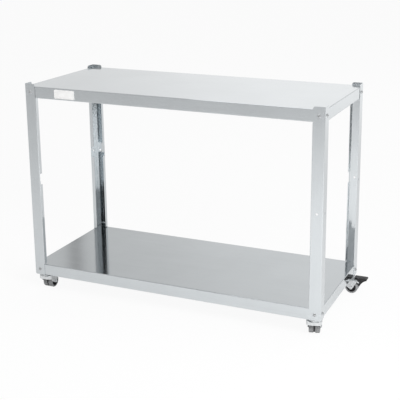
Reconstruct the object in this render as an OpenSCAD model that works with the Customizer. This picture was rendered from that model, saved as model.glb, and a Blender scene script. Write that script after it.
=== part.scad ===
// Grill stand: a folded stainless worktop and shelf on four folded corner posts,
// rolling on four twin-wheel castors, the rear two with a brake pedal.
// Millimetres, Z up. The origin is on the floor, under the middle of the stand.

/* [Stand] */
// Width over the corner posts
stand_w = 1200; // [900:10:1600]
// Depth over the corner posts
stand_d = 500; // [380:10:700]
// Height from the floor to the tops of the posts
stand_h = 850; // [650:10:1000]
// Gauge of the stainless sheet
sheet_t = 1.5; // [1:0.1:2]
// Inside radius of every fold in the sheet
fold_r = 1; // [0.6:0.1:2]

/* [Corner posts] */
// Width of each post flange
flange_w = 45; // [40:1:60]
// Depth of the lips turned in along the free edges
lip_d = 16; // [12:1:20]
// How far the posts stand above the worktop
post_rise = 10; // [2:1:30]
// Radius of the free top corners of the flanges
top_round = 9; // [4:0.5:12]
// Chamfer on the folded corner at the foot
foot_chamfer = 5; // [2:0.5:8]
// Height of the notch in both lips
notch_h = 44; // [20:1:80]
// Height of the notches and of the spare holes above the floor
notch_z = 470; // [300:5:520]
// Gap between the ends of the lips and the panels
lip_gap = 2.5; // [2.5:0.5:6]

/* [Panels] */
// Height of the skirt folded down round each panel
skirt_h = 45; // [35:1:55]
// Depth of the safe edge folded in under a skirt
return_d = 12; // [8:1:16]

/* [Stiffeners] */
// Width of a hat section between its walls
hat_w = 40; // [30:1:60]
// Depth of a hat section
hat_h = 25; // [15:1:30]
// Width of each foot of a hat section
hat_foot = 15; // [10:1:20]
// Distance of the worktop's hat sections from its middle
hat_y = 105; // [90:5:125]

/* [Castor rails] */
// Gauge of the rails that carry the castors
rail_t = 3; // [2:0.5:4]
// Foot of a rail under the shelf
rail_foot = 15; // [10:1:25]
// Height of the rail's outer lip
rail_lip = 9; // [7:0.5:10]
// Rail width left inside the castor plate
rail_margin = 6; // [5:1:12]

/* [Frame bolts] */
// Diameter of the bolts through posts and skirts
bolt_d = 8; // [6:1:8]
// Extra diameter of every bolt hole
hole_play = 0.5; // [0.3:0.1:1]
// Distance of a bolt from the folded corner of its post
bolt_edge = 22.5; // [18:0.5:26]

/* [Castor plates] */
// Height of a castor from the floor to its plate
castor_h = 70; // [68:1:90]
// Distance of a swivel axis from the outer faces
castor_inset = 32; // [31:1:60]
// Width of the square plate
plate_w = 52; // [50:1:60]
// Thickness of the plate
plate_t = 2.5; // [2:0.5:3]
// Corner radius of the plate
plate_r = 6; // [3:1:9]
// Spacing of the plate's bolts
plate_pitch = 38; // [37:1:42]
// Diameter of the plate's bolts
plate_bolt_d = 5; // [4:0.5:5]
// Depth of the pressed cup in the plate
cup_h = 3.5; // [3:0.1:4.5]
// Radius of the floor of the pressed cup
cup_r = 18.5; // [18:0.1:19]

/* [Swivel heads] */
// Diameter of the kingpin
kingpin_d = 8; // [6:0.5:10]
// Diameter of the bearing balls
ball_d = 5; // [4:0.5:5]
// Radius of the ring of balls
ball_ring_r = 15; // [14:0.1:15.2]
// Number of balls in a swivel head
ball_n = 12; // [8:1:14]
// How deep the balls sit in each race
race_depth = 0.6; // [0.4:0.1:0.9]

/* [Forks] */
// Gauge of the pressed fork
fork_t = 2.5; // [2:0.5:3]
// Height from the plate's underside to the fork's crown
head_h = 9; // [8.5:0.5:10]
// Width over the crown
crown_w = 58; // [56:1:66]
// Reach of the crown ahead of the swivel axis
crown_front = 22; // [20:1:26]
// Reach of the crown behind the swivel axis
crown_back = 47; // [45:1:50]
// Reach of the ears behind the crown
ear_reach = 11; // [9:0.5:12]
// Depth of the front apron below the crown
apron_h = 15; // [12:1:18]
// Inside distance between the legs at the axle
fork_gap = 44.6; // [44:0.2:50]
// Radius of the leg's rounded tip
tip_r = 6.5; // [6:0.5:9]
// Distance of the tip's centre below the axle
tip_drop = 0; // [0:0.5:5]

/* [Wheels] */
// Diameter of a wheel
wheel_d = 50; // [46:1:50]
// Horizontal distance from the swivel axis to the axle
trail = 24; // [20:1:26]
// Width of one tyre
tyre_w = 17; // [14:0.5:17.5]
// Gap between the two tyres of a castor
tyre_gap = 6; // [4:0.5:7]
// Thickness of the rubber
tyre_t = 6; // [4:0.5:7]
// How far the hub's flange between the tyres stops short of the tread
flange_drop = 2.5; // [2:0.5:3.5]
// Radius of the tread's edges
tread_r = 2.5; // [1:0.5:3]
// Diameter of the axle
axle_d = 8; // [6:0.5:8]

/* [Brake pedals] */
// Distance of the pedal's pivot from the swivel axis
pivot_x = 40; // [39:0.5:41]
// Depth of the pivot below the crown
pivot_drop = 8; // [8:0.5:9]
// Diameter of the pivot pin
pivot_d = 5; // [3:0.5:6]
// Reach of the pedal from the swivel axis
pedal_reach = 85; // [75:1:95]
// Width of the pedal
pedal_w = 28; // [24:1:34]
// Thickness of the pedal's tread plate
pedal_t = 3; // [2.5:0.1:3.2]
// Travel of the pedal in degrees
pedal_travel = 10; // [6:1:12]

/* [Hidden] */
$fn = 64;

// Clearances: running fit on a shaft, fit of a fixed part, gap beside a moving part
run_fit = 0.05;
fix_fit = 0.05;
seat_gap = 0.3;
// Overshoot of a cutting solid past the face it cuts
cut = 1;
// Reach of a solid into the one it is fused with
join = 1;
// Sides of a hexagon
hex = 6;

// Heights
worktop_z = stand_h - post_rise;
shelf_z = castor_h + skirt_h;
shelf_bolt_z = castor_h + skirt_h / 2;
top_bolt_z = worktop_z - skirt_h / 2;
lip_z0 = shelf_z + lip_gap;
lip_z1 = worktop_z - skirt_h - lip_gap;

// Panels fit inside the posts
fold_out = fold_r + sheet_t;
tray_w = stand_w - 2 * sheet_t;
tray_d = stand_d - 2 * sheet_t;
bay_w = tray_w - 2 * sheet_t;
bay_d = tray_d - 2 * sheet_t;
// Stiffeners and rails stop short of the folds in the skirts
inner_w = bay_w - 2 * fold_r;
inner_d = bay_d - 2 * fold_r;

// Bolts: button heads with a hexagon socket, as shares of the bolt's diameter
head_d_ratio = 1.75;
head_h_ratio = 0.55;
socket_ratio = 0.7;
nut_w_ratio = 1.625;
nut_h_ratio = 0.8;
thread_out_ratio = 0.25;

// Castors: front left, front right, rear left, rear right
FL = 0;
FR = 1;
RL = 2;
RR = 3;
side_x = [-1, 1, -1, 1];
side_y = [-1, -1, 1, 1];
// Direction in which each castor trails, in degrees from the right
trail_dir = [90, 103, 180, 0];
swivel_x = stand_w / 2 - castor_inset;
swivel_y = stand_d / 2 - castor_inset;

// Castor rails
rail_top_z = shelf_z - sheet_t;
rail_out_x = bay_w / 2;
rail_in_x = swivel_x - plate_w / 2 - rail_margin;

// Swivel head
cup_z = castor_h - cup_h;
cup_slope = 3;
ball_r = ball_d / 2;
ball_z = cup_z - ball_r + race_depth;
race_z = ball_z - ball_r + race_depth;
race_w = 10;
race_in_r = ball_ring_r - race_w / 2;
race_out_r = ball_ring_r + race_w / 2;
kingpin_head_rim = 3;
kingpin_head_r = kingpin_d / 2 + kingpin_head_rim;
kingpin_head_h = 2.2;

// Fork, in its own frame: swivel axis at the origin, trailing towards +X
crown_z = castor_h - head_h;
crown_fold_r = 5;
crown_corner_r = 18;
crown_bevel = 3;
leg_out = fork_gap / 2 + fork_t;
shoulder_drop = 11;
shoulder_z = crown_z - shoulder_drop;
neck_drop = 21;
neck_z = crown_z - neck_drop;
wheel_r = wheel_d / 2;
leg_edge_x = -2;
leg_edge_top = 3;
leg_edge_low = 7;
ear_r = 3;
ear_drop = 8;
notch_rise = 1;
// Half the width inside the crown
fork_in = crown_w / 2 - fork_t;

// Wheel, measured outward from the middle of the castor
tyre_s = tyre_gap / 2;
wheel_s = tyre_s + tyre_w;
rim_r = wheel_r - tyre_t;
rim_t = 3;
flange_r = wheel_r - flange_drop;
boss_t = 3.5;
boss_r = axle_d / 2 + boss_t;
web_t = 4;
spoke_n = 6;
spoke_t = 2;
spoke_inset = 2;
axle_head_rim = 2;
axle_head_r = axle_d / 2 + axle_head_rim;
axle_head_h = 2;

// Brake pedal
pivot_z = crown_z - pivot_drop;
barrel_t = 2.5;
barrel_r = pivot_d / 2 + barrel_t;
// The barrel ends beside the fork's walls, which draw in below the shoulder
barrel_low = max(0, shoulder_z - pivot_z + barrel_r);
barrel_half = fork_in - seat_gap - barrel_low * (fork_in - fork_gap / 2) / (neck_drop - shoulder_drop);
pedal_lift = 2;
pedal_under_z = crown_z + pedal_lift;
pedal_front_x = pivot_x - 6;
pedal_wall_t = 2.5;
neck_w = pedal_w - 6;
neck_x = 4;
slot_clear = 1;
brace_low = 20;
brace_in = 13;
brace_out = 17;
toe_drop = 5;
sweep_r = 45;
shoe_t = 5;
shoe_gap = 0.5;
shoe_inset = 2;
shoe_dir = atan2(wheel_r - pivot_z, trail - pivot_x);
shoe_reach = norm([trail - pivot_x, wheel_r - pivot_z]) - wheel_r - shoe_gap;
pin_head_rim = 1.5;
pin_head_r = pivot_d / 2 + pin_head_rim;
pin_head_h = 1.2;
grip_n = 5;
grip_pitch = 5;
grip_w = 2;
grip_h = 0.6;
grip_margin = 8;

// Colours
steel = "#c9cccd";
zinc = "#b9bcbe";
black = "#1d1d1f";
rubber = "#8b8d8e";

function unit(v) = v / norm(v);

// Point where the line from p touches the circle round c, on the given side
function touch(p, c, r, side) =
    let (v = p - c, a = atan2(v[1], v[0]) + side * acos(r / norm(v)))
    c + r * [cos(a), sin(a)];

// Centre of a circle through a and b, on the right of the way from a to b
function centre_by(a, b, r) =
    let (u = unit(b - a), h = norm(b - a) / 2)
    (a + b) / 2 + sqrt(r * r - h * h) * [u[1], -u[0]];

// Ring sector in the quadrant that q points to
module quarter_ring(q, r0, r1) {
    intersection() {
        difference() {
            circle(r1);
            circle(r0);
        }
        translate([q[0] < 0 ? -r1 : 0, q[1] < 0 ? -r1 : 0]) square(r1);
    }
}

// Straight run of sheet between two points
module run(a, b, t) {
    d = [abs(b[0] - a[0]), abs(b[1] - a[1])];
    translate((a + b) / 2) square(d[0] > d[1] ? [d[0], t] : [t, d[1]], center = true);
}

// Section of a sheet folded square at each inner point of its middle line
module folded(pts, t) {
    r = fold_r + t / 2;
    last = len(pts) - 1;
    for (i = [0 : last - 1]) {
        d = unit(pts[i + 1] - pts[i]);
        run(pts[i] + (i > 0 ? r : 0) * d, pts[i + 1] - (i + 1 < last ? r : 0) * d, t);
    }
    for (i = [1 : last - 1]) {
        d0 = unit(pts[i] - pts[i - 1]);
        d1 = unit(pts[i + 1] - pts[i]);
        translate(pts[i] + r * (d1 - d0)) quarter_ring(d0 - d1, fold_r, fold_r + t);
    }
}

module rounded_rect(w, d, r) {
    square([w - 2 * r, d], center = true);
    square([w, d - 2 * r], center = true);
    for (x = [-1, 1], y = [-1, 1]) translate([x * (w / 2 - r), y * (d / 2 - r)]) circle(r);
}

// Box with every edge rounded, round its middle
module rounded_box(w, d, h, r) {
    intersection() {
        linear_extrude(h, center = true) rounded_rect(w, d, r);
        rotate([90, 0, 0]) linear_extrude(d, center = true) rounded_rect(w, h, r);
        rotate([90, 0, 90]) linear_extrude(w, center = true) rounded_rect(d, h, r);
    }
}

// Outline in X and Z, pushed w wide along Y
module side_on(w) {
    rotate([90, 0, 0]) linear_extrude(w, center = true) children();
}

// From a corner's own frame, flanges along +X and +Y, to its place in the stand
module at_corner(sx, sy) {
    translate([sx * stand_w / 2, sy * stand_d / 2, 0])
        mirror([sx > 0 ? 1 : 0, 0, 0]) mirror([0, sy > 0 ? 1 : 0, 0]) children();
}

// The same feature on both flanges of a corner
module both_flanges() {
    children();
    mirror([1, -1, 0]) children();
}

// From a bolt's own frame, head towards +Z, to the front flange at a height
module on_flange(z) {
    translate([bolt_edge, 0, z]) rotate([90, 0, 0]) children();
}

module bolt_hole() {
    cylinder(d = bolt_d + hole_play, h = 2 * (2 * sheet_t + cut), center = true);
}

// Bolt holes through a panel's skirt, in line with those in the posts
module skirt_holes(z) {
    for (sx = [-1, 1], sy = [-1, 1]) at_corner(sx, sy) both_flanges() on_flange(z) bolt_hole();
}

module post_section() {
    m = sheet_t / 2;
    f = flange_w - m;
    folded([[f, lip_d], [f, m], [m, m], [m, f], [lip_d, f]], sheet_t);
}

module post_end_section() {
    m = sheet_t / 2;
    f = flange_w - sheet_t;
    folded([[f, m], [m, m], [m, f]], sheet_t);
}

module post(sx, sy) {
    color(steel) at_corner(sx, sy) difference() {
        union() {
            translate([0, 0, castor_h]) linear_extrude(lip_z0 - castor_h) post_end_section();
            translate([0, 0, lip_z0]) linear_extrude(lip_z1 - lip_z0) post_section();
            translate([0, 0, lip_z1]) linear_extrude(stand_h - lip_z1) post_end_section();
        }
        both_flanges() {
            for (z = [shelf_bolt_z, notch_z, top_bolt_z]) on_flange(z) bolt_hole();
            translate([flange_w - sheet_t - cut, fold_out, notch_z - notch_h / 2])
                cube([sheet_t + 2 * cut, lip_d, notch_h]);
            translate([flange_w - sheet_t - top_round, 0, stand_h - top_round])
                side_on(2 * (sheet_t + cut)) difference() {
                    square(top_round + cut);
                    circle(top_round);
                }
        }
        translate([0, 0, castor_h]) rotate([0, atan(sqrt(2)), 45])
            translate([0, 0, foot_chamfer / sqrt(3) - flange_w / 2]) cube(flange_w, center = true);
    }
}

// Panel folded down all round, before its underside is opened
module closed_tray(z_top) {
    translate([0, 0, z_top - skirt_h / 2]) difference() {
        rounded_box(tray_w, tray_d, skirt_h, fold_out);
        rounded_box(bay_w, bay_d, skirt_h - 2 * sheet_t, fold_r);
    }
}

module top_panel() {
    color(steel) difference() {
        closed_tray(worktop_z);
        skirt_holes(top_bolt_z);
        translate([0, 0, worktop_z - skirt_h])
            cube([tray_w - 2 * return_d, tray_d - 2 * return_d, 2 * (sheet_t + cut)], center = true);
    }
}

// The shelf has no safe edge where the castor rails lie
module bottom_shelf() {
    edge_x = rail_in_x - rail_foot;
    color(steel) difference() {
        closed_tray(shelf_z);
        skirt_holes(shelf_bolt_z);
        translate([0, 0, castor_h])
            cube([tray_w - 2 * return_d, tray_d - 2 * return_d, 2 * (sheet_t + cut)], center = true);
        for (x = [-1, 1]) translate([x * (bay_w / 2 + edge_x) / 2, 0, castor_h])
            cube([bay_w / 2 - edge_x, bay_d, 2 * (sheet_t + cut)], center = true);
    }
}

// Hat section along X, its feet against a sheet's underside
module hat(length, y, under_z) {
    top = under_z - sheet_t / 2;
    low = under_z - hat_h + sheet_t / 2;
    w = hat_w / 2;
    f = hat_w / 2 + hat_foot;
    color(steel) translate([0, y, 0]) rotate([90, 0, 90]) linear_extrude(length, center = true)
        folded([[-f, top], [-w, top], [-w, low], [w, low], [w, top], [f, top]], sheet_t);
}

module top_stiffener(sy) {
    hat(inner_w, sy * hat_y, worktop_z - sheet_t);
}

module shelf_stiffener() {
    hat(2 * (rail_in_x - rail_foot), 0, shelf_z - sheet_t);
}

// Folded rail from front skirt to rear skirt, with the castor plates under its web
module castor_rail(sx) {
    m = rail_t / 2;
    web_z = castor_h + plate_t + m;
    out_x = rail_out_x - m;
    in_x = rail_in_x + m;
    top_z = rail_top_z - m;
    color(zinc) difference() {
        mirror([sx < 0 ? 1 : 0, 0, 0]) side_on(inner_d)
            folded([[out_x, web_z + rail_lip - m], [out_x, web_z], [in_x, web_z], [in_x, top_z],
                [in_x - rail_foot, top_z]], rail_t);
        for (sy = [-1, 1]) translate([sx * swivel_x, sy * swivel_y, web_z])
            plate_holes(2 * rail_t);
    }
}

// Button head bolt, head towards +Z, seated on Z = 0
module bolt(d, length) {
    r = d * head_d_ratio / 2;
    h = d * head_h_ratio;
    dome_r = (r * r + h * h) / (2 * h);
    difference() {
        union() {
            intersection() {
                translate([0, 0, h - dome_r]) sphere(dome_r);
                cylinder(r = r, h = h);
            }
            translate([0, 0, -length]) cylinder(d = d, h = length + join);
        }
        translate([0, 0, h / 2]) cylinder(d = d * socket_ratio, h = h, $fn = hex);
    }
}

// Hexagon nut whose seat is grip below Z = 0
module nut(d, grip) {
    h = d * nut_h_ratio;
    translate([0, 0, -grip - h]) difference() {
        cylinder(d = d * nut_w_ratio / cos(180 / hex), h = h, $fn = hex);
        translate([0, 0, -cut]) cylinder(r = d / 2 + fix_fit, h = h + 2 * cut);
    }
}

module frame_bolts(z) {
    grip = 2 * sheet_t;
    color(zinc) for (sx = [-1, 1], sy = [-1, 1]) at_corner(sx, sy) both_flanges() on_flange(z)
        bolt(bolt_d, grip + bolt_d * (nut_h_ratio + thread_out_ratio));
}

module frame_nuts(z) {
    color(zinc) for (sx = [-1, 1], sy = [-1, 1]) at_corner(sx, sy) both_flanges() on_flange(z)
        nut(bolt_d, 2 * sheet_t);
}

module plate_corners() {
    for (x = [-1, 1], y = [-1, 1]) translate([x * plate_pitch / 2, y * plate_pitch / 2, 0]) children();
}

module plate_holes(h) {
    plate_corners() cylinder(d = plate_bolt_d + hole_play, h = h, center = true);
}

// Bolts come up through the plate, their heads under it
module castor_bolts() {
    grip = plate_t + rail_t;
    color(zinc) for (i = [FL : RR]) translate([side_x[i] * swivel_x, side_y[i] * swivel_y, castor_h])
        plate_corners() rotate([180, 0, 0])
            bolt(plate_bolt_d, grip + plate_bolt_d * (nut_h_ratio + thread_out_ratio));
}

module castor_nuts() {
    color(zinc) for (i = [FL : RR]) translate([side_x[i] * swivel_x, side_y[i] * swivel_y, castor_h])
        plate_corners() rotate([180, 0, 0]) nut(plate_bolt_d, plate_t + rail_t);
}

// A castor's fixed parts, square to the stand
module at_plate(i) {
    translate([side_x[i] * swivel_x, side_y[i] * swivel_y, 0]) children();
}

// A castor's turning parts, trailing as they stand
module at_castor(i) {
    at_plate(i) rotate(trail_dir[i]) children();
}

module ball_groove(z) {
    translate([ball_ring_r, z]) circle(ball_r + seat_gap / 2);
}

module castor_plate(i) {
    hole_r = kingpin_d / 2 + fix_fit;
    rim = cup_r + cup_slope;
    color(zinc) at_plate(i) difference() {
        union() {
            difference() {
                translate([0, 0, castor_h]) linear_extrude(plate_t) rounded_rect(plate_w, plate_w, plate_r);
                translate([0, 0, castor_h - cut]) cylinder(r = rim, h = plate_t + 2 * cut);
            }
            rotate_extrude() difference() {
                polygon([[hole_r, cup_z], [cup_r, cup_z], [rim, castor_h], [rim, castor_h + plate_t],
                    [cup_r, cup_z + plate_t], [hole_r, cup_z + plate_t]]);
                ball_groove(ball_z);
            }
        }
        translate([0, 0, castor_h]) plate_holes(4 * plate_t);
    }
}

// Rivet through plate and crown, headed at both ends
module castor_kingpin(i) {
    low = crown_z - fork_t - seat_gap;
    high = cup_z + plate_t;
    color(zinc) at_plate(i) rotate_extrude() {
        translate([0, low - kingpin_head_h]) square([kingpin_head_r, kingpin_head_h]);
        translate([0, low]) square([kingpin_d / 2, high - low]);
        translate([0, high]) square([kingpin_head_r, kingpin_head_h]);
    }
}

module castor_balls(i) {
    color(steel) at_plate(i) for (k = [0 : ball_n - 1])
        rotate(k * 360 / ball_n) translate([ball_ring_r, 0, ball_z]) sphere(ball_r);
}

// Section of the fork in Y and Z: square shoulders, then walls drawn in to the legs
module fork_section(inset) {
    w = crown_w / 2 - inset;
    leg = leg_out - inset;
    top = crown_z - inset;
    r = crown_fold_r - inset;
    square_w = w - r;
    translate([-square_w, shoulder_z]) square([2 * square_w, top - shoulder_z]);
    for (y = [-1, 1]) translate([y * square_w, top - r]) circle(r);
    polygon([[-w, top - r], [w, top - r], [w, shoulder_z], [leg, neck_z], [leg, 0], [-leg, 0],
        [-leg, neck_z], [-w, shoulder_z]]);
}

// Plan of the fork: front corners rounded, open at the back
module fork_plan(inset, back) {
    w = crown_w - 2 * inset;
    r = crown_corner_r - inset;
    front = -crown_front + inset;
    translate([front + r, -w / 2]) square([back - front - r, w]);
    translate([front, -w / 2 + r]) square([r, w - 2 * r]);
    for (y = [-1, 1]) translate([front + r, y * (w / 2 - r)]) circle(r);
}

// Side outline of the fork: crown and apron, running down to a rounded tip
module fork_outline() {
    tip = [trail, wheel_r - tip_drop];
    edge = [leg_edge_x, neck_z - leg_edge_low];
    notch = [crown_back + notch_rise, crown_z - ear_drop + notch_rise];
    ear = [crown_back + ear_reach - ear_r, crown_z - ear_drop];
    polygon([[-crown_front, crown_z - apron_h], [leg_edge_x, neck_z + leg_edge_top], edge,
        touch(edge, tip, tip_r, 1), tip, touch(notch, tip, tip_r, -1), notch,
        ear - [ear_r, ear_r] / sqrt(2), ear, ear + [ear_r, ear_r] / sqrt(2), [crown_back, crown_z],
        [-crown_front + crown_bevel, crown_z], [-crown_front, crown_z - crown_bevel]]);
    translate(ear) circle(ear_r);
    translate(tip) circle(tip_r);
}

module fork_shell() {
    long = crown_back + ear_reach + cut;
    difference() {
        intersection() {
            rotate([90, 0, 90]) linear_extrude(2 * long, center = true) fork_section(0);
            linear_extrude(crown_z + cut) fork_plan(0, long);
            side_on(crown_w + cut) fork_outline();
        }
        intersection() {
            rotate([90, 0, 90]) linear_extrude(3 * long, center = true) fork_section(fork_t);
            linear_extrude(crown_z) fork_plan(fork_t, long + cut);
        }
    }
}

// Pressed fork with the lower ball race on its crown
module castor_fork(i, braked) {
    color(zinc) at_castor(i) difference() {
        union() {
            fork_shell();
            rotate_extrude() difference() {
                translate([race_in_r, crown_z - fork_t / 2])
                    square([race_out_r - race_in_r, race_z - crown_z + fork_t / 2]);
                ball_groove(ball_z);
            }
        }
        cylinder(r = kingpin_d / 2 + run_fit, h = castor_h);
        translate([trail, 0, wheel_r]) side_bore(axle_d / 2 + fix_fit, crown_w);
        if (braked) {
            translate([pivot_x, 0, pivot_z]) side_bore(pivot_d / 2 + fix_fit, crown_w + cut);
            translate([pedal_front_x - slot_clear, -pedal_w / 2 - slot_clear, pivot_z + barrel_r])
                cube([crown_back, pedal_w + 2 * slot_clear, crown_z]);
        }
    }
}

// Cylinder along Y, round the middle
module side_bore(r, h) {
    rotate([90, 0, 0]) cylinder(r = r, h = h, center = true);
}

module castor_axle(i) {
    color(steel) at_castor(i) translate([trail, 0, wheel_r]) {
        side_bore(axle_d / 2, 2 * leg_out);
        for (y = [-1, 1]) translate([0, y * (leg_out + axle_head_h / 2), 0])
            side_bore(axle_head_r, axle_head_h);
    }
}

// From a wheel's own frame, Z outward from the middle of the castor
module at_wheel(i, side) {
    at_castor(i) translate([trail, 0, wheel_r]) rotate([-90 * side, 0, 0]) children();
}

module castor_hub(i, side) {
    bore_r = axle_d / 2 + run_fit;
    web_s = tyre_s + (tyre_w - web_t) / 2;
    color(black) at_wheel(i, side) {
        rotate_extrude() {
            translate([bore_r, seat_gap]) square([boss_r - bore_r, fork_gap / 2 - 2 * seat_gap]);
            translate([boss_r, web_s]) square([rim_r - boss_r, web_t]);
            translate([rim_r - rim_t, tyre_s]) square([rim_t, tyre_w]);
            translate([rim_r - rim_t, seat_gap]) square([flange_r - rim_r + rim_t, tyre_s - seat_gap]);
        }
        for (k = [0 : spoke_n - 1]) rotate(k * 360 / spoke_n)
            translate([boss_r - join, -spoke_t / 2, tyre_s + spoke_inset])
                cube([rim_r - rim_t - boss_r + 2 * join, spoke_t, tyre_w - 2 * spoke_inset]);
    }
}

module castor_tyre(i, side) {
    in_r = rim_r + fix_fit;
    color(rubber) at_wheel(i, side) rotate_extrude() {
        translate([in_r, tyre_s]) square([wheel_r - tread_r - in_r, tyre_w]);
        translate([in_r, tyre_s + tread_r]) square([wheel_r - in_r, tyre_w - 2 * tread_r]);
        for (s = [tyre_s + tread_r, wheel_s - tread_r]) translate([wheel_r - tread_r, s]) circle(tread_r);
    }
}

// Side outline of the pedal's tread plate, its tip turned down
module pedal_plate_outline() {
    z0 = pedal_under_z;
    z1 = pedal_under_z + pedal_t;
    polygon([[pedal_front_x, z0], [pedal_front_x, z1], [pedal_reach - pedal_t, z1], [pedal_reach, z0],
        [pedal_reach - pedal_t / 2, z0 - toe_drop], [pedal_reach - pedal_t, z0 - toe_drop]]);
}

// Side wall of the pedal: deep behind the wheels, hollowed out towards the toe
module pedal_wall_outline() {
    low = pivot_z - brace_low;
    top = pedal_under_z + pedal_t / 2;
    heel = [pivot_x + brace_out, low];
    toe = [pedal_reach - pedal_t, pedal_under_z - toe_drop];
    difference() {
        polygon([[pivot_x + neck_x, pivot_z - neck_x], [pivot_x + brace_in, low], heel, toe,
            [pedal_reach - pedal_t, top], [pivot_x + neck_x, top]]);
        translate(centre_by(heel, toe, sweep_r)) circle(sweep_r);
    }
}

module castor_pedal(i) {
    color(black) at_castor(i) difference() {
        union() {
            side_on(pedal_w) pedal_plate_outline();
            for (k = [0 : grip_n - 1])
                translate([pedal_reach - grip_margin - k * grip_pitch, 0, pedal_under_z + pedal_t])
                    cube([grip_w, neck_w, 2 * grip_h], center = true);
            for (y = [-1, 1]) translate([0, y * (pedal_w - pedal_wall_t) / 2, 0])
                side_on(pedal_wall_t) pedal_wall_outline();
            translate([pivot_x - neck_x, -neck_w / 2, pivot_z])
                cube([2 * neck_x, neck_w, pedal_under_z - pivot_z + join]);
            translate([pivot_x, 0, pivot_z]) {
                side_bore(barrel_r, 2 * barrel_half);
                rotate([0, -shoe_dir - pedal_travel, 0]) translate([shoe_reach / 2, 0, 0])
                    cube([shoe_reach, 2 * (wheel_s - shoe_inset), shoe_t], center = true);
            }
        }
        translate([pivot_x, 0, pivot_z]) side_bore(pivot_d / 2 + run_fit, crown_w);
    }
}

module castor_pedal_pin(i) {
    color(zinc) at_castor(i) translate([pivot_x, 0, pivot_z]) {
        side_bore(pivot_d / 2, crown_w);
        for (y = [-1, 1]) translate([0, y * (crown_w + pin_head_h) / 2, 0]) side_bore(pin_head_r, pin_head_h);
    }
}

post(-1, -1);  // leg_front_left
post(1, -1);  // leg_front_right
post(-1, 1);  // leg_rear_left
post(1, 1);  // leg_rear_right
top_panel();
top_stiffener(-1);  // top_stiffener_front
top_stiffener(1);  // top_stiffener_rear
bottom_shelf();
shelf_stiffener();
castor_rail(-1);  // castor_rail_left
castor_rail(1);  // castor_rail_right
frame_bolts(top_bolt_z);  // top_bolts
frame_nuts(top_bolt_z);  // top_nuts
frame_bolts(shelf_bolt_z);  // shelf_bolts
frame_nuts(shelf_bolt_z);  // shelf_nuts
castor_bolts();
castor_nuts();
castor_plate(FL);  // castor_fl_plate
castor_kingpin(FL);  // castor_fl_kingpin
castor_balls(FL);  // castor_fl_balls
castor_fork(FL, false);  // castor_fl_fork
castor_axle(FL);  // castor_fl_axle
castor_hub(FL, -1);  // castor_fl_hub_left
castor_hub(FL, 1);  // castor_fl_hub_right
castor_tyre(FL, -1);  // castor_fl_tyre_left
castor_tyre(FL, 1);  // castor_fl_tyre_right
castor_plate(FR);  // castor_fr_plate
castor_kingpin(FR);  // castor_fr_kingpin
castor_balls(FR);  // castor_fr_balls
castor_fork(FR, false);  // castor_fr_fork
castor_axle(FR);  // castor_fr_axle
castor_hub(FR, -1);  // castor_fr_hub_left
castor_hub(FR, 1);  // castor_fr_hub_right
castor_tyre(FR, -1);  // castor_fr_tyre_left
castor_tyre(FR, 1);  // castor_fr_tyre_right
castor_plate(RL);  // castor_rl_plate
castor_kingpin(RL);  // castor_rl_kingpin
castor_balls(RL);  // castor_rl_balls
castor_fork(RL, true);  // castor_rl_fork
castor_axle(RL);  // castor_rl_axle
castor_hub(RL, -1);  // castor_rl_hub_left
castor_hub(RL, 1);  // castor_rl_hub_right
castor_tyre(RL, -1);  // castor_rl_tyre_left
castor_tyre(RL, 1);  // castor_rl_tyre_right
castor_pedal(RL);  // castor_rl_pedal
castor_pedal_pin(RL);  // castor_rl_pedal_pin
castor_plate(RR);  // castor_rr_plate
castor_kingpin(RR);  // castor_rr_kingpin
castor_balls(RR);  // castor_rr_balls
castor_fork(RR, true);  // castor_rr_fork
castor_axle(RR);  // castor_rr_axle
castor_hub(RR, -1);  // castor_rr_hub_left
castor_hub(RR, 1);  // castor_rr_hub_right
castor_tyre(RR, -1);  // castor_rr_tyre_left
castor_tyre(RR, 1);  // castor_rr_tyre_right
castor_pedal(RR);  // castor_rr_pedal
castor_pedal_pin(RR);  // castor_rr_pedal_pin
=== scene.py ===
"""Dresses the grill stand: the finish of every piece, a blank plate, the floor, the light and the camera.

Metres, in the stand's own frame: X to the right, Y to the rear, Z up. The origin is on the floor under the
stand's middle.
"""
import math

import bmesh
import bpy
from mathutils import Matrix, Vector

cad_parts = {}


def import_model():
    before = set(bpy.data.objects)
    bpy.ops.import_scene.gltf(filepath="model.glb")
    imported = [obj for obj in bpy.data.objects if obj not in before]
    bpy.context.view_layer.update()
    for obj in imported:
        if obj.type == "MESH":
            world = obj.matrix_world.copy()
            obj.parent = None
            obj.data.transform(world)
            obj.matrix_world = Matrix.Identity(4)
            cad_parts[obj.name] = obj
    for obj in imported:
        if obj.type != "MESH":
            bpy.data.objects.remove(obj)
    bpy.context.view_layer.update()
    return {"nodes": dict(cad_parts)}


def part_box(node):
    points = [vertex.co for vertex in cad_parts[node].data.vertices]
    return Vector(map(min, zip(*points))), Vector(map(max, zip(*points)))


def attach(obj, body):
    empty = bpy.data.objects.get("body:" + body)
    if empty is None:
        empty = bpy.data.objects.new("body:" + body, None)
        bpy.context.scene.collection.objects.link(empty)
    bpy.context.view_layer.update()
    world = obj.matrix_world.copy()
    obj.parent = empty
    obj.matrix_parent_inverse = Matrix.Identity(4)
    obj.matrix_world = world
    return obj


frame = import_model()
nodes = frame["nodes"]

# Camera: its place, its turn in degrees, and its lens in pixels of the photograph's frame
CAMERA_AT = (1.4461, -3.1038, 1.4649)
CAMERA_TURN = (75.691, 0.058, 22.411)
FOCAL_PX = 902.9
FRAME_PX = 400
PRINCIPAL_PX = (234, 148)
SENSOR_MM = 36.0

# Noise: how far it is squeezed along X, Y and Z, its scales per metre, and ranges that hold most values
GRAIN_ALONG_X = (3, 500, 500)
GRAIN_UPRIGHT = (500, 500, 3)
EVEN = (1, 1, 1)
CLOUD_SCALE = 5.0
SPANGLE_SCALE = 160.0
NOISE_RANGE = (0.3, 0.7)
SKIN_RANGE = (0.35, 0.65)

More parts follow.
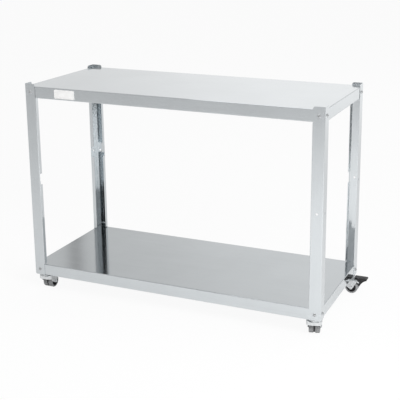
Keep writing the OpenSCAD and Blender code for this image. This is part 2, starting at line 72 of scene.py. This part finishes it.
# Steel: shades and roughness as shares of a finish's own, and each bump as its strength and depth
STEEL_TONE = (0.704, 0.737, 0.756)
STEEL_SHADES = (0.95, 1.04)
STEEL_ROUGH = (0.85, 1.2)
STEEL_BUMP = (0.02, 0.0002)
PLATED_SHADES = (0.88, 1.05)
PLATED_ROUGH = (0.8, 1.3)
PLATED_BUMP = (0.05, 0.0002)

# Moulded skins: darkest and lightest tone, how far the roughness strays, and the depth of the bump
NYLON_TONES = ((0.012, 0.012, 0.013), (0.022, 0.022, 0.024))
RUBBER_TONES = ((0.26, 0.265, 0.27), (0.325, 0.33, 0.335))
FILM_TONES = ((0.93, 0.93, 0.92), (0.96, 0.96, 0.95))
SKIN_STRAY = 0.08
SKIN_DEPTH = 0.0003

# Blank plate on the front of the worktop's skirt
PLATE_SIZE = (0.088, 0.034)
PLATE_LEFT = 0.128
PLATE_THICK = 0.0006
PLATE_CORNER = 0.003
CORNER_STEPS = 6

# Floor: how much of it is plain white to the camera, and how much in the metal. The rest takes the light.
FLOOR_SIZE = 60.0
FLOOR_COLOUR = (0.72, 0.72, 0.72, 1)
FLOOR_WHITE = 0.93
FLOOR_MIRRORED = 0.3
STAGE_ROUGH = 0.9

# Upright cards that only the metal shows: colour, ends on the floor, and lowest and highest point
CARDS = {
    "studio_wall": ((0.68, 0.68, 0.685, 1), ((-8.0, -4.4), (7.0, -5.2)), (0.0, 4.0)),
    "studio_flag": ((0.24, 0.24, 0.24, 1), ((1.08, -2.8), (1.08, -1.4)), (0.0, 0.45)),
}

# Sky: the even light that it spreads, its levels, and its steps, as the sine of the height above the horizon
WORLD_AMBIENT = 0.55
SKY_LOW = 0.8
SKY_LOW_STEP = (0.04, 0.14)
SKY_TOP = 0.61
SKY_TOP_STEP = (0.22, 0.31)
GLOW_WAY = (-0.15, 0.97, 0.2)
GLOW_EDGE = 0.915
GLOW = 0.21

# Soft dark band across the sky: its turn and half its width in degrees
BAND_TURN = 33.0
BAND_HALF = 0.7
BAND_DARK = 0.55
BAND_STEP = (0.25, 0.31)

# Square lamps: place, target, side in metres, power in watts, and whether the metal shows the lamp
LAMPS = {
    "right_light": ((3.0, 4.3, 2.3), (1.6, 3.6, 0), 1.6, 74.0, False),
    "top_light": ((0, -0.3, 3.2), (0, -0.3, 0), 2.0, 15.0, True),
    "front_light": ((2.0, -1.6, 2.0), (0.3, -1.3, 0), 1.2, 80.0, False),
}


def new_material(name):
    """A material with the default Principled shader; returns it with its tree and shader."""
    mat = bpy.data.materials.new(name)
    mat.use_nodes = True
    tree = mat.node_tree
    return mat, tree, tree.nodes["Principled BSDF"]


def noise(tree, scale, squeeze, detail):
    """Noise in the piece's own coordinates, squeezed along each axis by that axis's number."""
    coords = tree.nodes.new("ShaderNodeTexCoord")
    mapping = tree.nodes.new("ShaderNodeMapping")
    mapping.inputs["Scale"].default_value = squeeze
    texture = tree.nodes.new("ShaderNodeTexNoise")
    texture.inputs["Scale"].default_value = scale
    texture.inputs["Detail"].default_value = detail
    tree.links.new(coords.outputs["Object"], mapping.inputs["Vector"])
    tree.links.new(mapping.outputs["Vector"], texture.inputs["Vector"])
    return texture.outputs["Fac"]


def ramp(tree, value, low, high, colour_low, colour_high):
    """Colour that runs from colour_low to colour_high while value goes from low to high."""
    node = tree.nodes.new("ShaderNodeValToRGB")
    node.color_ramp.elements[0].position = low
    node.color_ramp.elements[0].color = (*colour_low, 1)
    node.color_ramp.elements[1].position = high
    node.color_ramp.elements[1].color = (*colour_high, 1)
    tree.links.new(value, node.inputs["Fac"])
    return node.outputs["Color"]


def map_range(tree, value, low, high, at_low, at_high):
    """Map Range node that turns value into at_low at low, into at_high at high, and goes no further."""
    node = tree.nodes.new("ShaderNodeMapRange")
    node.inputs["From Min"].default_value = low
    node.inputs["From Max"].default_value = high
    node.inputs["To Min"].default_value = at_low
    node.inputs["To Max"].default_value = at_high
    tree.links.new(value, node.inputs["Value"])
    return node


def span(tree, value, at_low, at_high):
    """Noise spread over at_low to at_high."""
    return map_range(tree, value, *NOISE_RANGE, at_low, at_high).outputs["Result"]


def smooth(tree, value, low, high, at_low, at_high):
    """Smooth step of value, from at_low at low to at_high at high."""
    node = map_range(tree, value, low, high, at_low, at_high)
    node.interpolation_type = "SMOOTHSTEP"
    return node.outputs["Result"]


def math_node(tree, operation, a, b=0.0):
    """Result of a Math node, whose two inputs are sockets or numbers."""
    node = tree.nodes.new("ShaderNodeMath")
    node.operation = operation
    for socket, value in zip(node.inputs, (a, b)):
        if isinstance(value, (int, float)):
            socket.default_value = value
        else:
            tree.links.new(value, socket)
    return node.outputs[0]


def shades(tone, share_low, share_high):
    """The darkest and the lightest shade of a tone, as shares of it."""
    low = tuple(c * share_low for c in tone)
    high = tuple(min(1, c * share_high) for c in tone)
    return low, high


def add_bump(tree, shader, value, strength, depth):
    """Bump of value over the whole surface, depth metres deep."""
    node = tree.nodes.new("ShaderNodeBump")
    node.inputs["Strength"].default_value = strength
    node.inputs["Distance"].default_value = depth
    tree.links.new(value, node.inputs["Height"])
    tree.links.new(node.outputs["Normal"], shader.inputs["Normal"])


def brushed_steel(name, grain, rough):
    """Stainless sheet: fine grain drawn out along one axis, with faint clouds over it."""
    mat, tree, shader = new_material(name)
    fine = noise(tree, scale=1.0, squeeze=grain, detail=3.0)
    cloud = noise(tree, scale=CLOUD_SCALE, squeeze=EVEN, detail=3.0)
    mix = tree.nodes.new("ShaderNodeMix")
    mix.data_type = "FLOAT"
    mix.inputs["Factor"].default_value = 0.5
    tree.links.new(fine, mix.inputs["A"])
    tree.links.new(cloud, mix.inputs["B"])
    colour = ramp(tree, mix.outputs["Result"], *NOISE_RANGE, *shades(STEEL_TONE, *STEEL_SHADES))
    roughness = span(tree, fine, rough * STEEL_ROUGH[0], rough * STEEL_ROUGH[1])
    tree.links.new(colour, shader.inputs["Base Color"])
    tree.links.new(roughness, shader.inputs["Roughness"])
    shader.inputs["Metallic"].default_value = 1.0
    add_bump(tree, shader, fine, *STEEL_BUMP)
    return mat


def plated_steel(name, tone, rough):
    """Pressed or turned steel: small spangle and slightly uneven gloss."""
    mat, tree, shader = new_material(name)
    spangle = noise(tree, scale=SPANGLE_SCALE, squeeze=EVEN, detail=4.0)
    colour = ramp(tree, spangle, *NOISE_RANGE, *shades(tone, *PLATED_SHADES))
    roughness = span(tree, spangle, rough * PLATED_ROUGH[0], rough * PLATED_ROUGH[1])
    tree.links.new(colour, shader.inputs["Base Color"])
    tree.links.new(roughness, shader.inputs["Roughness"])
    shader.inputs["Metallic"].default_value = 1.0
    add_bump(tree, shader, spangle, *PLATED_BUMP)
    return mat


def moulded(name, tones, rough, grain_scale, bump):
    """Moulded plastic or rubber with a fine skin."""
    mat, tree, shader = new_material(name)
    skin = noise(tree, scale=grain_scale, squeeze=EVEN, detail=5.0)
    tree.links.new(ramp(tree, skin, *SKIN_RANGE, *tones), shader.inputs["Base Color"])
    tree.links.new(span(tree, skin, rough - SKIN_STRAY, rough + SKIN_STRAY), shader.inputs["Roughness"])
    add_bump(tree, shader, skin, bump, SKIN_DEPTH)
    return mat


def dress(names, mat):
    """Gives the named nodes the material."""
    for name in names:
        for slot in nodes[name].material_slots:
            slot.material = mat


def ending(*words):
    """Names of the nodes whose name ends with one of the words."""
    return [name for name in nodes if name.endswith(words)]


def dress_nodes():
    """Gives every node of the frame its material."""
    sheet_long = brushed_steel("sheet_grain_along_x", grain=GRAIN_ALONG_X, rough=0.1)
    sheet_upright = brushed_steel("sheet_grain_upright", grain=GRAIN_UPRIGHT, rough=0.09)
    fastener = plated_steel("stainless_fastener", tone=(0.65, 0.665, 0.675), rough=0.34)
    zinc = plated_steel("bright_zinc", tone=(0.82, 0.84, 0.85), rough=0.2)
    polished = plated_steel("polished_ball", tone=(0.7, 0.7, 0.71), rough=0.1)
    black = moulded("black_nylon", NYLON_TONES, rough=0.42, grain_scale=400.0, bump=0.1)
    rubber = moulded("grey_rubber", RUBBER_TONES, rough=0.6, grain_scale=300.0, bump=0.2)
    dress(["top_panel", "bottom_shelf"], sheet_long)
    dress(ending("_stiffener", "stiffener_front", "stiffener_rear"), sheet_long)
    dress([name for name in nodes if name.startswith("leg_")], sheet_upright)
    dress(ending("_bolts", "_nuts"), fastener)
    dress(ending("_plate", "_fork", "_axle", "_kingpin", "_pin", "rail_left", "rail_right"), zinc)
    dress(ending("_balls"), polished)
    dress(ending("hub_left", "hub_right", "_pedal"), black)
    dress(ending("tyre_left", "tyre_right"), rubber)


def rounded_plate(name, width, height, thick, corner):
    """Thin plate with rounded corners in X and Z, its back on Y = 0 and its face towards -Y."""
    outline = []
    for side_x, side_z, start in ((1, 1, 0), (-1, 1, 90), (-1, -1, 180), (1, -1, 270)):
        for k in range(CORNER_STEPS + 1):
            turn = math.radians(start + 90 * k / CORNER_STEPS)
            x = side_x * (width / 2 - corner) + corner * math.cos(turn)
            z = side_z * (height / 2 - corner) + corner * math.sin(turn)
            outline.append((x, z))
    mesh = bmesh.new()
    back = [mesh.verts.new((x, 0, z)) for x, z in outline]
    front = [mesh.verts.new((x, -thick, z)) for x, z in outline]
    mesh.faces.new(back)
    mesh.faces.new(list(reversed(front)))
    for i in range(len(outline)):
        j = (i + 1) % len(outline)
        mesh.faces.new((back[i], front[i], front[j], back[j]))
    bmesh.ops.recalc_face_normals(mesh, faces=mesh.faces)
    data = bpy.data.meshes.new(name)
    mesh.to_mesh(data)
    mesh.free()
    obj = bpy.data.objects.new(name, data)
    bpy.context.scene.collection.objects.link(obj)
    return obj


def blank_plate():
    """Plain white plate on the left of the worktop's front skirt, half way up it."""
    low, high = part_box("top_panel")
    plate = rounded_plate("blank_plate", *PLATE_SIZE, PLATE_THICK, PLATE_CORNER)
    plate.location = (low.x + PLATE_LEFT + PLATE_SIZE[0] / 2, low.y, (low.z + high.z) / 2)
    film = moulded("white_film", FILM_TONES, rough=0.35, grain_scale=60.0, bump=0.02)
    plate.data.materials.append(film)
    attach(plate, "stand")


def seen(tree, by_camera, by_mirror):
    """by_camera to the camera, by_mirror in metal or glass, and 0 to light that spreads."""
    path = tree.nodes.new("ShaderNodeLightPath")
    level = math_node(tree, "MULTIPLY", path.outputs["Is Camera Ray"], by_camera)
    for name in ("Is Glossy Ray", "Is Transmission Ray"):
        mirrored = math_node(tree, "MULTIPLY", path.outputs[name], by_mirror)
        level = math_node(tree, "MAXIMUM", level, mirrored)
    return level


def stage_plane(name, corners, mat):
    """Four-cornered plane that belongs to the studio and not to the stand."""
    mesh = bpy.data.meshes.new(name)
    mesh.from_pydata(corners, [], [(0, 1, 2, 3)])
    mesh.materials.append(mat)
    plane = bpy.data.objects.new(name, mesh)
    bpy.context.scene.collection.objects.link(plane)
    return plane


def stage_material(name, colour):
    """Plain matt colour for the studio."""
    mat, tree, shader = new_material(name)
    shader.inputs["Base Color"].default_value = colour
    shader.inputs["Roughness"].default_value = STAGE_ROUGH
    return mat, tree, shader


def floor():
    """White floor that keeps a faint shadow."""
    mat, tree, shader = stage_material("pale_floor", FLOOR_COLOUR)
    white = tree.nodes.new("ShaderNodeEmission")
    mix = tree.nodes.new("ShaderNodeMixShader")
    tree.links.new(seen(tree, FLOOR_WHITE, FLOOR_MIRRORED), mix.inputs["Fac"])
    tree.links.new(shader.outputs["BSDF"], mix.inputs[1])
    tree.links.new(white.outputs["Emission"], mix.inputs[2])
    tree.links.new(mix.outputs["Shader"], tree.nodes["Material Output"].inputs["Surface"])
    half = FLOOR_SIZE / 2
    stage_plane("floor", [(-half, -half, 0), (half, -half, 0), (half, half, 0), (-half, half, 0)], mat)


def studio_card(name, colour, ends, heights):
    """Upright card of the studio, which only the metal shows."""
    mat = stage_material(name, colour)[0]
    left, right = ends
    bottom, top = heights
    card = stage_plane(name, [(*left, bottom), (*right, bottom), (*right, top), (*left, top)], mat)
    card.visible_camera = False
    card.visible_shadow = False


def along(tree, way, direction):
    """How far the unit vector way goes along direction."""
    node = tree.nodes.new("ShaderNodeVectorMath")
    node.operation = "DOT_PRODUCT"
    node.inputs[1].default_value = direction
    tree.links.new(way, node.inputs[0])
    return node.outputs["Value"]


def sky(tree):
    """Studio sky: white at the horizon, greyer above, with a glow behind the stand and a soft dark band."""
    way = tree.nodes.new("ShaderNodeTexCoord").outputs["Generated"]
    height = along(tree, way, (0, 0, 1))
    low_sky = smooth(tree, height, *SKY_LOW_STEP, 1.0, SKY_LOW)
    top_sky = smooth(tree, height, *SKY_TOP_STEP, 1.0, SKY_TOP / SKY_LOW)
    turn = math.radians(BAND_TURN)
    off_band = math_node(tree, "ABSOLUTE", along(tree, way, (math.cos(turn), math.sin(turn), 0)))
    band = smooth(tree, off_band, 0.0, math.sin(math.radians(BAND_HALF)), BAND_DARK, 0.0)
    band = math_node(tree, "MULTIPLY", band, smooth(tree, height, *BAND_STEP, 0.0, 1.0))
    glow = smooth(tree, along(tree, way, Vector(GLOW_WAY).normalized()), GLOW_EDGE, 1.0, 0.0, GLOW)
    level = math_node(tree, "MULTIPLY", low_sky, top_sky)
    level = math_node(tree, "MULTIPLY", level, math_node(tree, "SUBTRACT", 1.0, band))
    return math_node(tree, "ADD", level, glow)


def world():
    """Shows the sky to the camera and in the metal, and lights everything else with an even ambient."""
    studio = bpy.data.worlds.new("studio")
    bpy.context.scene.world = studio
    studio.use_nodes = True
    tree = studio.node_tree
    background = tree.nodes["Background"]
    background.inputs["Color"].default_value = (1, 1, 1, 1)
    direct = seen(tree, 1.0, 1.0)
    shown = math_node(tree, "MULTIPLY", sky(tree), direct)
    spread = math_node(tree, "MULTIPLY", math_node(tree, "SUBTRACT", 1.0, direct), WORLD_AMBIENT)
    tree.links.new(math_node(tree, "ADD", shown, spread), background.inputs["Strength"])


def softbox(name, place, target, side, power, mirrored):
    """Square lamp that points at target. The camera never sees it, and metal shows it only if mirrored."""
    data = bpy.data.lights.new(name, "AREA")
    data.shape = "SQUARE"
    data.size = side
    data.energy = power
    lamp = bpy.data.objects.new(name, data)
    bpy.context.scene.collection.objects.link(lamp)
    lamp.location = place
    lamp.rotation_mode = "QUATERNION"
    lamp.rotation_quaternion = (Vector(target) - Vector(place)).to_track_quat("-Z", "Y")
    lamp.visible_camera = False
    lamp.visible_glossy = mirrored


def camera():
    """Camera at the photograph's place, with the photograph's lens and the shift that its framing needs."""
    data = bpy.data.cameras.new("camera")
    data.sensor_width = SENSOR_MM
    data.lens = FOCAL_PX / FRAME_PX * SENSOR_MM
    data.shift_x = (FRAME_PX / 2 - PRINCIPAL_PX[0]) / FRAME_PX
    data.shift_y = (PRINCIPAL_PX[1] - FRAME_PX / 2) / FRAME_PX
    cam = bpy.data.objects.new("camera", data)
    bpy.context.scene.collection.objects.link(cam)
    cam.location = CAMERA_AT
    cam.rotation_euler = [math.radians(a) for a in CAMERA_TURN]
    bpy.context.scene.camera = cam


dress_nodes()
blank_plate()
floor()
for card_name, card_values in CARDS.items():
    studio_card(card_name, *card_values)
world()
for lamp_name, lamp_values in LAMPS.items():
    softbox(lamp_name, *lamp_values)
camera()
bpy.context.scene.view_settings.view_transform = "Standard"
